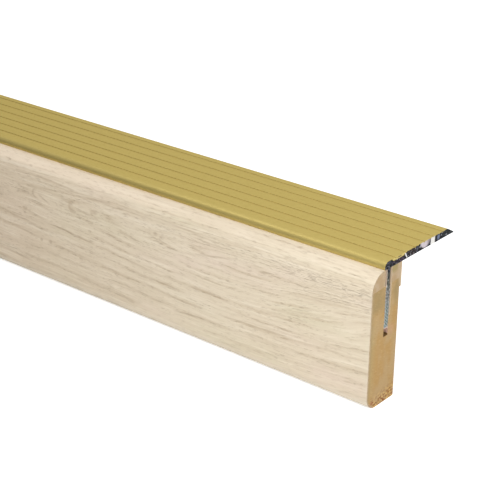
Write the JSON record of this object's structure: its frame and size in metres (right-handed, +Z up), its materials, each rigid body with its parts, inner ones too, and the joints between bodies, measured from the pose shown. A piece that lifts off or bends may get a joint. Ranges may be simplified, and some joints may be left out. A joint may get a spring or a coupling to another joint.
{
  "type": "stair nosing",
  "caption": "Stair nosing by the length: a grooved gold aluminium plate pressed into a slotted front board faced with white oak veneer, to cap the front edge of a renovated stair tread.",
  "frame": {"origin": "centre of the bounding box's bottom: below the middle of the stock, on the plane that the front board stands on", "axes": "+X along the length of the stock, +Y from the board's veneered front towards the tread, +Z up from the board's bottom edge to the grooved plate"},
  "size_m": [0.9, 0.0458, 0.0499],
  "materials": {
    "anodised_gold": "satin gold anodised aluminium, raw at the sawn ends",
    "limed_oak": "white-limed oak veneer, matt oiled",
    "core_wood": "bare sawn softwood",
    "cap_wood": "bare sawn light wood"
  },
  "bodies": {
    "root": {"nosing_profile": "anodised_gold", "oak_veneer": "limed_oak", "core_board": "core_wood", "cap_front": "cap_wood", "cap_rear": "cap_wood"}
  },
  "joints": []
}
